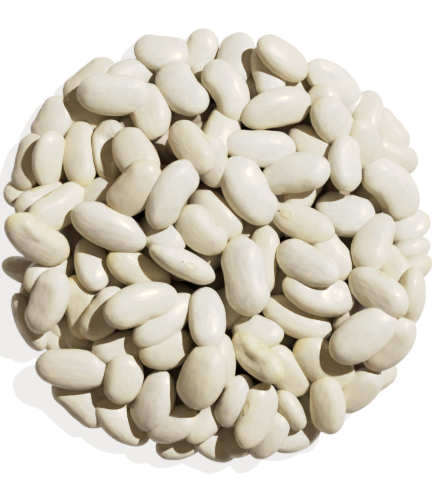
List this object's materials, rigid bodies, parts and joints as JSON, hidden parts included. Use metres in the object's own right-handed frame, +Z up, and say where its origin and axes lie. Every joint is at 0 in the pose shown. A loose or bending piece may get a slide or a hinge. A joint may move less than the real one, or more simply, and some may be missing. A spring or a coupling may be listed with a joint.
{
  "type": "heap of dried white beans",
  "caption": "Low round heap of large white kidney beans, dried and loose, lying on a flat surface; a food prop seen from above.",
  "frame": {"origin": "on the surface the heap lies on, under the middle of its round outline", "axes": "+Z up; the picture looks straight down -Z with +Y towards the top of the picture and +X to its right"},
  "size_m": [0.1036, 0.1048, 0.027],
  "materials": {
    "bean_skin": "cream-white satin skin of dried beans"
  },
  "bodies": {
    "root": {"bean_heap": "bean_skin"}
  },
  "joints": []
}
